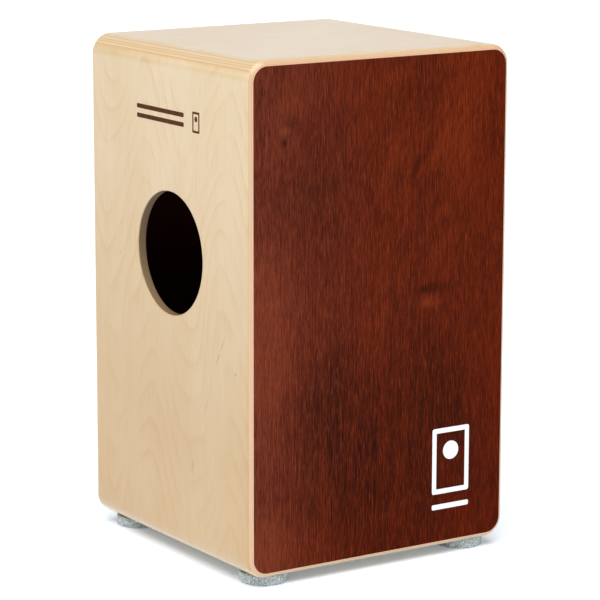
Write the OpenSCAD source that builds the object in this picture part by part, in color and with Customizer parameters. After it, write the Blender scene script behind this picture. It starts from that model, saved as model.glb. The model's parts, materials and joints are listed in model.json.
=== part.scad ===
// Cajon: a glued plywood box drum with a side sound hole and a pull-out snare insert.
// Origin on the floor under the middle of the box, +X to the right as seen from the playing
// side, +Y towards the back, +Z up. The playing surface faces -Y and the sound hole faces -X.

/* [Box] */
// Width across the playing surface
box_w = 298; // [280:1:320]
// Depth from the playing surface to the back
box_d = 292; // [270:1:310]
// Height of the box without its feet
box_h = 490; // [460:1:510]
// Radius of the four long outer corners
corner_r = 20; // [18:1:24]

/* [Panels] */
// Thickness of the two side panels
side_t = 9; // [8:0.5:11]
// Thickness of the seat panel
seat_t = 10; // [9:0.5:12]
// Thickness of the base panel
base_t = 10; // [9:0.5:12]
// Thickness of the back panel
back_t = 4; // [3:0.5:6]
// Edge rounding around the back panel
back_round = 3; // [2:0.5:4]

/* [Playing surface] */
// Thickness of the plywood core
core_t = 2.7; // [2.2:0.1:3.2]
// Thickness of the dark face veneer
veneer_t = 0.3; // [0.3:0.1:0.6]
// Edge rounding around the playing surface
front_round = 7; // [5:0.5:8]

/* [Sound hole] */
// Radius of the sound hole
hole_r = 60; // [45:1:65]
// Height of the hole's centre above the underside of the box
hole_up = 292; // [200:1:300]
// Distance of the hole's centre in front of the middle of the box
hole_forward = 3; // [0:1:10]
// Rounding of the hole's outer rim
hole_rim = 1.5; // [1:0.5:2.5]

/* [Corner battens] */
// Leg of each batten glued into a long inner corner
batten_leg = 18; // [14:1:22]

/* [Snare unit] */
// Distance of the bar's top below the top of the box
bar_down = 145; // [130:1:160]
// Height of the snare bar
bar_h = 30; // [26:1:34]
// Thickness of the snare bar
bar_t = 12; // [10:1:14]
// Number of coils on each half snare
coils = 12; // [8:1:12]
// Length of one coil
coil_len = 105; // [90:1:110]
// Outer radius of one coil
coil_r = 1; // [0.8:0.1:1]

/* [Feet] */
// Radius of one foot disc
foot_r = 24; // [18:0.5:26]
// Height of one foot disc
foot_h = 10; // [6:1:14]
// Distance of the foot centres from the box's middle, left and right
foot_x = 115; // [100:1:115]
// Distance of the foot centres from the box's middle, front and back
foot_y = 117; // [100:1:117]

/* [Hidden] */

LEFT = -1;
RIGHT = 1;
FRONT = -1;
BACK = 1;
BOTTOM = -1;
TOP = 1;

// Planes of the box
floor_z = foot_h;
top_z = foot_h + box_h;
mid_z = foot_h + box_h / 2;
front_y = -box_d / 2;
back_y = box_d / 2;
plate_y = front_y + veneer_t + core_t;
back_joint_y = back_y - back_t;
inner_x = box_w / 2 - side_t;
inner_floor_z = floor_z + base_t;
inner_top_z = top_z - seat_t;
cut_margin = 5;

// Flat steps that make up each quarter turn of an outer rounding
corner_steps = 14;
edge_steps = 8;

// Sound hole
hole_z = floor_z + hole_up;
hole_back_chamfer = 0.5;
rim_steps = 4;

// Battens keep this much of each leg square before the sloping face
batten_flat = 4;

// Snare blocks and hook-and-loop pads
block_w = 18;
block_d = 22;
block_h = 50;
block_chamfer = 2;
block_stand_off = 4;
pad_w = 15;
pad_t = 1.5;
pad_edge = 0.5;
hook_pad_h = 40;
loop_pad_edge = 2;
pull_gap = 0.3;

// Snare bar
bar_side_gap = 2;
bar_chamfer = 2;
bar_top_z = top_z - bar_down;
bar_z = bar_top_z - bar_h;
block_mid_z = bar_z + bar_h / 2;
block_rear_y = plate_y + block_stand_off + block_d;
bar_front_y = block_rear_y + 2 * pad_t + pull_gap;

// Half snares: the lip of each end plate leans forward, so that the coils reach the plate
coil_pitch = 6.4;
snare_x = 56;
end_plate_margin = 4;
end_plate_w = (coils - 1) * coil_pitch + 2 * end_plate_margin;
flange_t = 1.2;
flange_d = 10.5;
lip_t = 2 * coil_r;
lip_h = 8;
lip_set_back = 1.3;
lip_y = bar_front_y + lip_set_back;
coil_gap = 0.3;
lean = asin((lip_y - plate_y - coil_gap - coil_r) / (lip_h + coil_len));

// Screws that hold the end plates
screw_spread = 28;
screw_set_back = 6;
screw_y = lip_y + screw_set_back;
shank_r = 1.5;
shank_depth = 12;
flange_hole_r = 1.75;
head_r = 2.8;
head_h = 1.6;
slot_w = 0.7;
slot_depth = 0.7;

// Feet
foot_edge = 1;

$fn = 64;

// One corner arc of the box outline, as points in X and Z, shrunk by the inset
function corner_arc(sx, sz, start, inset) = [
    for (i = [0 : corner_steps])
        let (a = start + 90 * i / corner_steps)
        [
            sx * (box_w / 2 - corner_r) + (corner_r - inset) * cos(a),
            mid_z + sz * (box_h / 2 - corner_r) + (corner_r - inset) * sin(a),
        ]
];

// The whole rounded outline, shrunk by the inset
function outline(inset) = concat(
    corner_arc(RIGHT, TOP, 0, inset),
    corner_arc(LEFT, TOP, 90, inset),
    corner_arc(LEFT, BOTTOM, 180, inset),
    corner_arc(RIGHT, BOTTOM, 270, inset)
);

// [depth, inset] pairs along a rounded edge of radius r, from the flat face inwards
function edge_round(r) = [
    for (i = [0 : edge_steps])
        let (a = 90 * i / edge_steps)
        [r * (1 - cos(a)), r * (1 - sin(a))]
];

// A box between two opposite corners
module block(low, high) {
    translate(low) cube(high - low);
}

// The outer shape of the closed box: rounded outlines stacked from front to back
module box_envelope() {
    front = edge_round(front_round);
    rear = edge_round(back_round);
    rings = concat(
        [for (e = front) [front_y + e[0], e[1]]],
        [for (i = [edge_steps : -1 : 0]) [back_y - rear[i][0], rear[i][1]]]
    );
    per_ring = len(outline(0));
    last = len(rings) - 1;
    points = [for (ring = rings) for (p = outline(ring[1])) [p[0], ring[0], p[1]]];
    sides = [
        for (r = [0 : last - 1])
            for (i = [0 : per_ring - 1])
                let (j = (i + 1) % per_ring)
                [
                    r * per_ring + i,
                    r * per_ring + j,
                    (r + 1) * per_ring + j,
                    (r + 1) * per_ring + i,
                ]
    ];
    front_cap = [for (i = [per_ring - 1 : -1 : 0]) i];
    rear_cap = [for (i = [0 : per_ring - 1]) last * per_ring + i];
    polyhedron(points, concat([front_cap], sides, [rear_cap]));
}

// The part of the box shape that lies between two opposite corners
module box_slice(low, high) {
    intersection() {
        box_envelope();
        block(low, high);
    }
}

module seat_panel() {
    color("burlywood")
        box_slice(
            [-box_w / 2 - cut_margin, plate_y, inner_top_z],
            [box_w / 2 + cut_margin, back_joint_y, top_z + cut_margin]
        );
}

module base_panel() {
    color("tan")
        box_slice(
            [-box_w / 2 - cut_margin, plate_y, floor_z - cut_margin],
            [box_w / 2 + cut_margin, back_joint_y, inner_floor_z]
        );
}

module side_board(side) {
    near = side * inner_x;
    far = side * (box_w / 2 + cut_margin);
    box_slice(
        [min(near, far), plate_y, inner_floor_z],
        [max(near, far), back_joint_y, inner_top_z]
    );
}

// Cutter for the sound hole: a true bore with a rounded outer rim and a small inner chamfer
module sound_hole_cutter() {
    rim = [
        for (i = [0 : rim_steps])
            let (a = 90 * i / rim_steps)
            [hole_r + hole_rim * (1 - sin(a)), hole_rim * (1 - cos(a))]
    ];
    translate([-box_w / 2, -hole_forward, hole_z])
        rotate([0, 90, 0])
        rotate_extrude()
        polygon(concat(
            [[0, -cut_margin], [hole_r + hole_rim, -cut_margin]],
            rim,
            [
                [hole_r, side_t - hole_back_chamfer],
                [hole_r + hole_back_chamfer, side_t],
                [hole_r + hole_back_chamfer, side_t + cut_margin],
                [0, side_t + cut_margin],
            ]
        ));
}

module left_side_panel() {
    color("wheat")
        difference() {
            side_board(LEFT);
            sound_hole_cutter();
        }
}

module right_side_panel() {
    color("wheat") side_board(RIGHT);
}

module back_panel() {
    color("navajowhite")
        box_slice(
            [-box_w / 2 - cut_margin, back_joint_y, floor_z - cut_margin],
            [box_w / 2 + cut_margin, back_y + cut_margin, top_z + cut_margin]
        );
}

module playing_surface_core() {
    color("peru")
        box_slice(
            [-box_w / 2 - cut_margin, front_y + veneer_t, floor_z - cut_margin],
            [box_w / 2 + cut_margin, plate_y, top_z + cut_margin]
        );
}

module playing_surface_veneer() {
    color("saddlebrown")
        box_slice(
            [-box_w / 2 - cut_margin, front_y - cut_margin, floor_z - cut_margin],
            [box_w / 2 + cut_margin, front_y + veneer_t, top_z + cut_margin]
        );
}

// A strip with a sloping inner face, glued along one long inner corner
module corner_batten(side, level) {
    corner_z = level == TOP ? inner_top_z : inner_floor_z;
    color("bisque")
        translate([side * inner_x, back_joint_y, corner_z])
        mirror([side == RIGHT ? 1 : 0, 0, 0])
        mirror([0, 0, level == TOP ? 1 : 0])
        rotate([90, 0, 0])
        linear_extrude(height = back_joint_y - plate_y)
        polygon([
            [0, 0],
            [batten_leg, 0],
            [batten_leg, batten_flat],
            [batten_flat, batten_leg],
            [0, batten_leg],
        ]);
}

// A block on the side panel that carries one end of the snare bar
module snare_block(side) {
    color("sandybrown")
        translate([side * inner_x, plate_y + block_stand_off, block_mid_z - block_h / 2])
        mirror([side == RIGHT ? 1 : 0, 0, 0])
        linear_extrude(height = block_h)
        polygon([
            [0, 0],
            [block_w - block_chamfer, 0],
            [block_w, block_chamfer],
            [block_w, block_d],
            [0, block_d],
        ]);
}

// A hook or loop pad: both halves share one width and place across the box
module pad(side, low_y, low_z, high_z) {
    far = side * (inner_x - bar_side_gap - pad_edge);
    near = far - side * pad_w;
    block([min(near, far), low_y, low_z], [max(near, far), low_y + pad_t, high_z]);
}

module hook_pad(side) {
    color("dimgray")
        pad(side, block_rear_y, block_mid_z - hook_pad_h / 2, block_mid_z + hook_pad_h / 2);
}

module loop_pad(side) {
    color("black")
        pad(side, bar_front_y - pad_t, bar_z + loop_pad_edge, bar_top_z - loop_pad_edge);
}

// The two screw places of one end plate
module at_end_plate_screws(side) {
    for (end = [-1, 1])
        translate([side * snare_x + end * screw_spread, screw_y, bar_top_z])
            children();
}

module snare_bar() {
    length = 2 * (inner_x - bar_side_gap);
    color("sandybrown")
        difference() {
            translate([-length / 2, bar_front_y, bar_z])
                rotate([90, 0, 90])
                linear_extrude(height = length)
                polygon([
                    [0, 0],
                    [bar_t - bar_chamfer, 0],
                    [bar_t, bar_chamfer],
                    [bar_t, bar_h],
                    [0, bar_h],
                ]);
            for (side = [LEFT, RIGHT])
                at_end_plate_screws(side)
                translate([0, 0, -shank_depth])
                    cylinder(r = shank_r, h = shank_depth + cut_margin);
        }
}

// A point on the lip in Y and Z, from its foot: across its thickness and along its height
function lip_point(across, along) = [
    across * cos(lean) - along * sin(lean),
    across * sin(lean) + along * cos(lean),
];

// A folded steel plate: a flange on top of the bar and a leaning lip that grips the coils
module snare_end_plate(side) {
    half = lip_t / 2;
    fold = (flange_t - half * sin(lean)) / cos(lean);
    color("silver")
        difference() {
            translate([side * snare_x - end_plate_w / 2, lip_y, bar_top_z])
                rotate([90, 0, 90])
                linear_extrude(height = end_plate_w)
                polygon([
                    [-half / cos(lean), 0],
                    [flange_d - half, 0],
                    [flange_d - half, flange_t],
                    lip_point(half, fold),
                    lip_point(half, lip_h),
                    lip_point(-half, lip_h),
                ]);
            at_end_plate_screws(side)
                translate([0, 0, -cut_margin])
                cylinder(r = flange_hole_r, h = 2 * cut_margin);
        }
}

module snare_coils(side) {
    color("gainsboro")
        translate([side * snare_x, lip_y, bar_top_z])
        rotate([lean, 0, 0])
        for (i = [0 : coils - 1])
            translate([(i - (coils - 1) / 2) * coil_pitch, 0, lip_h])
                cylinder(r = coil_r, h = coil_len);
}

module snare_screws() {
    color("lightsteelblue")
        for (side = [LEFT, RIGHT])
            at_end_plate_screws(side)
            difference() {
                translate([0, 0, -shank_depth])
                    rotate_extrude()
                    polygon([
                        [0, 0],
                        [shank_r, 0],
                        [shank_r, shank_depth + flange_t],
                        [head_r, shank_depth + flange_t],
                        [head_r, shank_depth + flange_t + head_h / 2],
                        [head_r - head_h / 2, shank_depth + flange_t + head_h],
                        [0, shank_depth + flange_t + head_h],
                    ]);
                block(
                    [-head_r, -slot_w / 2, flange_t + head_h - slot_depth],
                    [head_r, slot_w / 2, flange_t + head_h + cut_margin]
                );
            }
}

module foot(side, end) {
    color("slategray")
        translate([side * foot_x, end * foot_y, 0])
        rotate_extrude()
        polygon([
            [0, 0],
            [foot_r - foot_edge, 0],
            [foot_r, foot_edge],
            [foot_r, foot_h],
            [0, foot_h],
        ]);
}

seat_panel();
base_panel();
left_side_panel();
right_side_panel();
back_panel();
playing_surface_core();
playing_surface_veneer();
corner_batten(LEFT, TOP);  // corner_batten_top_left
corner_batten(RIGHT, TOP);  // corner_batten_top_right
corner_batten(LEFT, BOTTOM);  // corner_batten_bottom_left
corner_batten(RIGHT, BOTTOM);  // corner_batten_bottom_right
snare_block(LEFT);  // snare_block_left
snare_block(RIGHT);  // snare_block_right
hook_pad(LEFT);  // hook_pad_left
hook_pad(RIGHT);  // hook_pad_right
snare_bar();
loop_pad(LEFT);  // loop_pad_left
loop_pad(RIGHT);  // loop_pad_right
snare_end_plate(LEFT);  // snare_end_plate_left
snare_end_plate(RIGHT);  // snare_end_plate_right
snare_coils(LEFT);  // snare_coils_left
snare_coils(RIGHT);  // snare_coils_right
snare_screws();
foot(LEFT, FRONT);  // foot_front_left
foot(RIGHT, FRONT);  // foot_front_right
foot(LEFT, BACK);  // foot_back_left
foot(RIGHT, BACK);  // foot_back_right
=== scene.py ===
"""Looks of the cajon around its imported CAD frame: wood shells, felt feet, marks and the snare unit."""
import json
import math
import random

import bmesh
import bpy
from mathutils import Matrix, Vector, noise


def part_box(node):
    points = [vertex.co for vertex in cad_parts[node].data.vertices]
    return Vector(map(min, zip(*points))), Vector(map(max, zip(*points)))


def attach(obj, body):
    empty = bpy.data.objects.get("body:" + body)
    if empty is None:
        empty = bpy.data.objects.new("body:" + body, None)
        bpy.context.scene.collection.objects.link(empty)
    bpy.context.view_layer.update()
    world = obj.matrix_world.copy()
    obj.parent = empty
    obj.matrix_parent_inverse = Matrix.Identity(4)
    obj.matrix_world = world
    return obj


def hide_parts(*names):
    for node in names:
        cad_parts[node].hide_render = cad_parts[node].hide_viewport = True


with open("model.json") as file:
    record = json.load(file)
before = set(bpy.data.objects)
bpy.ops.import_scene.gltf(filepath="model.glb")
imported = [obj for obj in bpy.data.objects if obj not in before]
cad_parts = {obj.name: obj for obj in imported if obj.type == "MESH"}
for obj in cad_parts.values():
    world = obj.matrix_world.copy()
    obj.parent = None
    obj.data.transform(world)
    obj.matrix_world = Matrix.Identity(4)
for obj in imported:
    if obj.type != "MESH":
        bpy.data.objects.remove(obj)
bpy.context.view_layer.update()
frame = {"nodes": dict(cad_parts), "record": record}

MM = 0.001
X, Y, Z = 0, 1, 2

# The four corners of an outline, in the order of its quarter turns
QUARTERS = ((1, 1), (-1, 1), (-1, -1), (1, -1))

# Roundings of the box, as in the CAD, and the flat steps that make up each quarter turn
CORNER_ROUND = 20 * MM
FRONT_ROUND = 7 * MM
BACK_ROUND = 3 * MM
CORNER_STEPS = 28
EDGE_STEPS = 12
HOLE_RIM = 1.5 * MM
HOLE_BACK_CHAMFER = 0.5 * MM
HOLE_STEPS = 144
CUT_MARGIN = 5 * MM

# Edges are eased from this angle on and shaded sharp from this one on, in degrees
SHARP_ANGLE = 50
SMOOTH_ANGLE = 35

# Points this near a cut lie on it, in metres
CUT_TOLERANCE = 1e-7

# Sharp edges are eased by this much, which leaves a fine groove at each glued joint
PANEL_EASE = 0.08 * MM
VENEER_EASE = 0.05 * MM

# The print stands this far above the veneer; the burned mark lies in a pocket, its char below the face
PRINT_RELIEF = 0.03 * MM
PRINT_ROOT = 0.1 * MM
POCKET_DEPTH = 0.30 * MM
CHAR_DEPTH = 0.12 * MM
CHAR_ROOT = 0.02 * MM

BOX_NODES = (
    "seat_panel",
    "base_panel",
    "left_side_panel",
    "right_side_panel",
    "back_panel",
    "playing_surface_core",
    "playing_surface_veneer",
)

# Thickness of one ply, and of the outermost one
SIDE_PLIES = (1.25, 2.8)
SEAT_PLIES = (2.17, 2.1)
BACK_PLIES = (1.33, 1.33)
CORE_PLIES = (0.9, 0.9)


# ---------- places, all from the frame


def box_of(nodes):
    """The lowest and highest corner of several CAD nodes together."""
    boxes = [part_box(node) for node in nodes]
    low = Vector([min(b[0][i] for b in boxes) for i in range(3)])
    high = Vector([max(b[1][i] for b in boxes) for i in range(3)])
    return low, high


BOX_LOW, BOX_HIGH = box_of(BOX_NODES)


# ---------- mesh helpers


def bridge(bm, pairs):
    """Faces all the way round between the two rows of vertices of each pair."""
    for row, following in pairs:
        count = len(row)
        for i in range(count):
            j = (i + 1) % count
            bm.faces.new((row[i], row[j], following[j], following[i]))


def loft(rings, closed=False):
    """A closed solid through rings of equal length. Unless the rings form a loop, both ends are capped."""
    bm = bmesh.new()
    rows = [[bm.verts.new(point) for point in ring] for ring in rings]
    pairs = list(zip(rows, rows[1:]))
    if closed:
        pairs.append((rows[-1], rows[0]))
    else:
        bm.faces.new(rows[0])
        bm.faces.new(rows[-1])
    bridge(bm, pairs)
    bmesh.ops.recalc_face_normals(bm, faces=bm.faces)
    return bm


def cut(bm, axis, place, side):
    """Removes what lies beyond a plane square to an axis, on the given side, and closes the cut."""
    point = Vector((0, 0, 0))
    point[axis] = place
    normal = Vector((0, 0, 0))
    normal[axis] = side
    geometry = bm.verts[:] + bm.edges[:] + bm.faces[:]
    found = bmesh.ops.bisect_plane(
        bm, geom=geometry, dist=CUT_TOLERANCE, plane_co=point, plane_no=normal, clear_outer=True
    )
    edges = [e for e in found["geom_cut"] if isinstance(e, bmesh.types.BMEdge)]
    bmesh.ops.contextual_create(bm, geom=edges)


def ease_edges(bm, width):
    """Puts a small flat on every sharp edge."""
    limit = math.radians(SHARP_ANGLE)
    sharp = [e for e in bm.edges if e.is_manifold and e.calc_face_angle() > limit]
    bmesh.ops.bevel(
        bm,
        geom=sharp,
        offset=width,
        segments=1,
        profile=0.5,
        affect="EDGES",
        clamp_overlap=True,
    )


def to_mesh(name, bm):
    """A mesh from a bmesh, which is freed."""
    mesh = bpy.data.meshes.new(name)
    bm.to_mesh(mesh)
    bm.free()
    return mesh


def in_scene(name, data):
    """A new object in the scene."""
    thing = bpy.data.objects.new(name, data)
    bpy.context.scene.collection.objects.link(thing)
    return thing


def merged(parts):
    """Several bmeshes as one."""
    whole = bmesh.new()
    for part in parts:
        mesh = to_mesh("part", part)
        whole.from_mesh(mesh)
        bpy.data.meshes.remove(mesh)
    return whole


def new_piece(name, bm, material, body="body", smooth_angle=SMOOTH_ANGLE):
    """Makes a piece from a bmesh, smooth-shaded up to an angle, and lets it ride on a body."""
    bmesh.ops.recalc_face_normals(bm, faces=bm.faces)
    mesh = to_mesh(name, bm)
    mesh.materials.append(material)
    piece = in_scene(name, mesh)
    shade(piece, smooth_angle)
    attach(piece, body)
    return piece


def shade(piece, smooth_angle):
    """Smooth shading that keeps flat faces flat, with sharp edges above the angle."""
    mesh = piece.data
    mesh.shade_smooth()
    mesh.set_sharp_from_angle(angle=math.radians(smooth_angle))
    keep_flats(piece)


def keep_flats(piece):
    """Normals that follow the large faces."""
    weighted = piece.modifiers.new("weighted", "WEIGHTED_NORMAL")
    weighted.keep_sharp = True


def subtract(piece, cutter_bm):
    """Cuts a shape out of a piece and keeps the result as the piece's own mesh."""
    bmesh.ops.recalc_face_normals(cutter_bm, faces=cutter_bm.faces)
    cutter = in_scene("cutter", to_mesh("cutter", cutter_bm))
    boolean = piece.modifiers.new("cut", "BOOLEAN")
    boolean.operation = "DIFFERENCE"
    boolean.solver = "EXACT"
    boolean.object = cutter
    depsgraph = bpy.context.evaluated_depsgraph_get()
    result = bpy.data.meshes.new_from_object(piece.evaluated_get(depsgraph))
    piece.modifiers.clear()
    piece.data = result
    bpy.data.objects.remove(cutter)


def round_corners(centres, radius, steps):
    """An outline of four quarter turns, one around each centre."""
    points = []
    for quarter, (u, v) in enumerate(centres):
        for i in range(steps + 1):
            a = math.radians(90 * (quarter + i / steps))
            points.append((u + radius * math.cos(a), v + radius * math.sin(a)))
    return points


def lump(point, size, height):
    """How far smooth lumps of one size push a point out or in. Size and height are in millimetres."""
    return noise.noise(point / (size * MM)) * height * MM


def circle(centre, radius, steps, axes):
    """Points of a circle around a centre, in the plane of two axes."""
    points = []
    for i in range(steps):
        a = 2 * math.pi * i / steps
        point = Vector(centre)
        point[axes[0]] += radius * math.cos(a)
        point[axes[1]] += radius * math.sin(a)
        points.append(point)
    return points


# ---------- shader helper


class Shader:
    """One Principled material with its procedural nodes. Lengths in its coordinates are millimetres."""

    def __init__(self, name):
        self.material = bpy.data.materials.new(name)
        self.material.use_nodes = True
        self.tree = self.material.node_tree
        self.principled = self.tree.nodes["Principled BSDF"]
        coordinates = self.add("ShaderNodeTexCoord").outputs
        inputs = {0: coordinates["Object"], "Scale": 1 / MM}
        self.place = self.add("ShaderNodeVectorMath", inputs, operation="SCALE").outputs[0]
        self.along = self.split(self.place)
        self.normal = self.split(coordinates["Normal"])

    def add(self, kind, inputs=None, **settings):
        """A new node with its settings and with a value or a link in each input."""
        node = self.tree.nodes.new(kind)
        for key, value in settings.items():
            setattr(node, key, value)
        for key, value in (inputs or {}).items():
            self.plug(node.inputs[key], value)
        return node

    def plug(self, socket, value):
        """Links a socket to another, or gives it a number or as many numbers as it holds."""
        if isinstance(value, bpy.types.NodeSocket):
            self.tree.links.new(value, socket)
            return
        if hasattr(socket.default_value, "__len__"):
            wanted = len(socket.default_value)
            value = (tuple(value) + (1,))[:wanted] if hasattr(value, "__len__") else (value,) * wanted
        socket.default_value = value

    def math(self, operation, a, b=0.0):
        return self.add("ShaderNodeMath", {0: a, 1: b}, operation=operation).outputs[0]

    def plus(self, a, b):
        return self.math("ADD", a, b)

    def minus(self, a, b):
        return self.math("SUBTRACT", a, b)

    def times(self, a, b):
        return self.math("MULTIPLY", a, b)

    def over(self, a, b):
        return self.math("DIVIDE", a, b)

    def length(self, x, y):
        flat = self.join(x, y, 0)
        return self.add("ShaderNodeVectorMath", {0: flat}, operation="LENGTH").outputs["Value"]

    def split(self, vector):
        return self.add("ShaderNodeSeparateXYZ", {0: vector}).outputs[:]

    def join(self, x, y, z):
        return self.add("ShaderNodeCombineXYZ", {0: x, 1: y, 2: z}).outputs[0]

    def noise(self, vector, scale, detail=2.0, roughness=0.5, distortion=0.0):
        inputs = {"Vector": vector, "Scale": scale, "Detail": detail, "Roughness": roughness}
        inputs["Distortion"] = distortion
        return self.add("ShaderNodeTexNoise", inputs).outputs[0]

    def grain(self, across, length, stretch, seed, scale, detail=2.0, roughness=0.5):
        """Noise drawn out along the grain. The seed sets one pattern apart from another."""
        drawn_out = self.join(across, self.over(length, stretch), seed)
        return self.noise(drawn_out, scale, detail, roughness)

    def sway(self, value, noise, amount):
        """The value, moved up and down by noise."""
        return self.plus(value, self.times(self.minus(noise, 0.5), amount))

    def remap(self, value, low, high, to_low=0.0, to_high=1.0, smooth=False):
        """What lies from low to high, spread from to_low to to_high and held there beyond."""
        inputs = {0: value, 1: low, 2: high, 3: to_low, 4: to_high}
        kind = "SMOOTHSTEP" if smooth else "LINEAR"
        return self.add("ShaderNodeMapRange", inputs, interpolation_type=kind, clamp=True).outputs[0]

    def blend(self, factor, a, b):
        """A number that goes from a to b."""
        return self.add("ShaderNodeMix", {0: factor, 2: a, 3: b}, data_type="FLOAT").outputs[0]

    def mix(self, factor, a, b, kind="MIX"):
        """A colour that goes from a to b, or is combined with b."""
        inputs = {0: factor, 6: a, 7: b}
        return self.add("ShaderNodeMix", inputs, data_type="RGBA", blend_type=kind).outputs[2]

    def paint(self, amount, tone):
        """Takes the material's colour towards a tone."""
        self.colour = self.mix(amount, self.colour, tone)

    def tint(self, amount, tint):
        """Multiplies the material's colour by a tint."""
        self.paint(amount, self.mix(1.0, self.colour, tint, "MULTIPLY"))

    def ramp(self, value, stops):
        """A colour from a list of (value, colour)."""
        node = self.add("ShaderNodeValToRGB", {0: value})
        elements = node.color_ramp.elements
        while len(elements) < len(stops):
            elements.new(0.5)
        for element, (at, colour) in zip(elements, stops):
            element.position = at
            element.color = tuple(colour) + (1,)
        return node.outputs[0]

    def bump(self, height, depth, strength=1.0):
        """A bump whose height of 1 stands for the depth in millimetres."""
        inputs = {"Strength": strength, "Distance": depth * MM, "Height": height}
        self.plug(self.principled.inputs["Normal"], self.add("ShaderNodeBump", inputs).outputs[0])

    def finish(self, roughness, **constants):
        """The material, once its colour, roughness and constant values are in."""
        self.plug(self.principled.inputs["Base Color"], self.colour)
        self.plug(self.principled.inputs["Roughness"], roughness)
        for name, value in constants.items():
            self.plug(self.principled.inputs[name.replace("_", " ")], value)
        return self.material


def srgb(red, green, blue):
    """A linear colour from screen values of 0 to 255."""
    return tuple(
        c / 12.92 if c <= 0.04045 else ((c + 0.055) / 1.055) ** 2.4
        for c in (red / 255, green / 255, blue / 255)
    )


# ---------- materials

BIRCH_FACE = srgb(214, 191, 155)
BIRCH_WARM = srgb(204, 173, 120)
BIRCH_FIBRE = srgb(176, 138, 92)
BIRCH_END = srgb(205, 160, 116)
BIRCH_GLUE = srgb(138, 98, 62)
BIRCH_MINERAL = srgb(134, 88, 44)
BIRCH_PINK = srgb(214, 166, 130)
# Painted shade for the left side: darker and yellower towards its bottom and back
BIRCH_PAINTED_SHADE_TINT = (0.78, 0.65, 0.445)
# Painted reflection on the seat's flat top: paler and greyer
SEAT_PAINTED_REFLECTION_TINT = (0.90, 0.94, 1.08)
# Painted shade on the sound hole's wall and the steep part of the left side's rounded edges
HOLE_WALL_PAINTED_SHADE = (0.46, 0.49, 0.56)
# Near-black painted shade for the inside of the box, which lies in shade
INSIDE_PAINTED_SHADE = srgb(72, 15, 11)
LACQUER = 0.9
LACQUER_ROUGHNESS = 0.28
INSIDE_SHADE_ROUGHNESS = 0.75

# In millimetres: how far a glue line wavers, how far below the inner face the painted shade of the inside
# starts and is full, and how far apart in the noise two plies lie
PLY_WAVER = 0.35
INSIDE_SHADE_START = 0.8
INSIDE_SHADE_FULL = 0.4
PLY_SEED_STEP = 31.7

# Growth figure of the birch faces: width of one arch and V, height of an arch, and rise from ring to ring
ARCH_WIDTH = 145
ARCH_HEIGHT = 62
RING_SPACING = 38

# How much slow noise shifts the arches sideways, in radians, and up, in millimetres; how ragged a ring is
ARCH_DRIFT = 2.2
RING_DRIFT = 90
RING_RAGGED = 7

# Each ring darkens twice: where in the ring a shade starts and how strong it is, and where both peak
RING_SHADES = ((0.10, 0.45), (0.66, 0.55))
RING_PEAK = 0.90

# Marks in the left side's birch: place in Y and Z, size, lean and strength, and how far they wander
SIDE_STREAKS = (
    ((-54, 385), (0.9, 50), -0.04, 0.5),
    ((-95, 222), (1.4, 26), -0.58, 0.85),
    ((-71, 168), (1.1, 34), -0.40, 0.5),
    ((-44, 99), (3.4, 12), -0.15, 0.6),
    ((-122, 205), (1.8, 2.6), 0.0, 0.8),
    ((92, 288), (1.5, 2.6), 0.0, 0.6),
)
STREAK_WANDER = 3

# Dark veneer: tones, tints from left to right (a painted sheen on the left) and low down (painted shade),
# and what this sheet has where, in X and Z
VENEER_TONES = (
    (0.05, srgb(52, 17, 8)),
    (0.35, srgb(79, 27, 11)),
    (0.60, srgb(97, 34, 14)),
    (0.90, srgb(120, 47, 21)),
)
VENEER_LEFT_PAINTED_SHEEN = (0.89, 1.16, 1.95)
VENEER_MIDDLE_TINT = (0.91, 0.82, 0.68)
VENEER_RIGHT_TINT = (0.85, 0.64, 0.29)
VENEER_LOW_PAINTED_SHADE = (0.92, 0.76, 0.46)
VENEER_DARK = srgb(44, 12, 5)
VENEER_LIGHT = srgb(146, 62, 28)
VENEER_PORE = srgb(32, 9, 5)
VENEER_GLINT = srgb(168, 78, 42)
VENEER_SHADES = (
    ((-78, 370), (70, 130), -0.16),
    ((-52, 120), (85, 170), -0.26),
    ((20, 120), (120, 170), -0.22),
    ((70, 130), (90, 150), -0.18),
    ((-20, 250), (40, 120), 0.08),
    ((-135, 200), (50, 340), 0.25),
    ((-122, 260), (70, 120), 0.26),
    ((-100, 460), (140, 90), 0.10),
    ((110, 440), (90, 140), 0.15),
    ((-125, 30), (110, 60), 0.30),
)
VENEER_KNOTS = (
    ((-110, 423), (4, 6), 0.75),
    ((-104, 440), (16, 16), 0.25),
    ((62, 270), (38, 9), 0.5),
    ((50, 269), (14, 5), 0.4),
    ((59, 257), (4, 3), 0.7),
)
VENEER_GLINTS = (
    ((-110, 434), (8, 7), 0.28),
    ((56, 256), (20, 9), 0.25),
)

# Where the veneer's grain runs straightest and where it ripples aslant, and the slant's direction
VENEER_STRAIGHT = ((-40, 130), (150, 260))
VENEER_RIPPLED = ((50, 420), (160, 230))
RIPPLE_ACROSS = (0.82, -0.57)
RIPPLE_ALONG = (0.57, 0.82)


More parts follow.
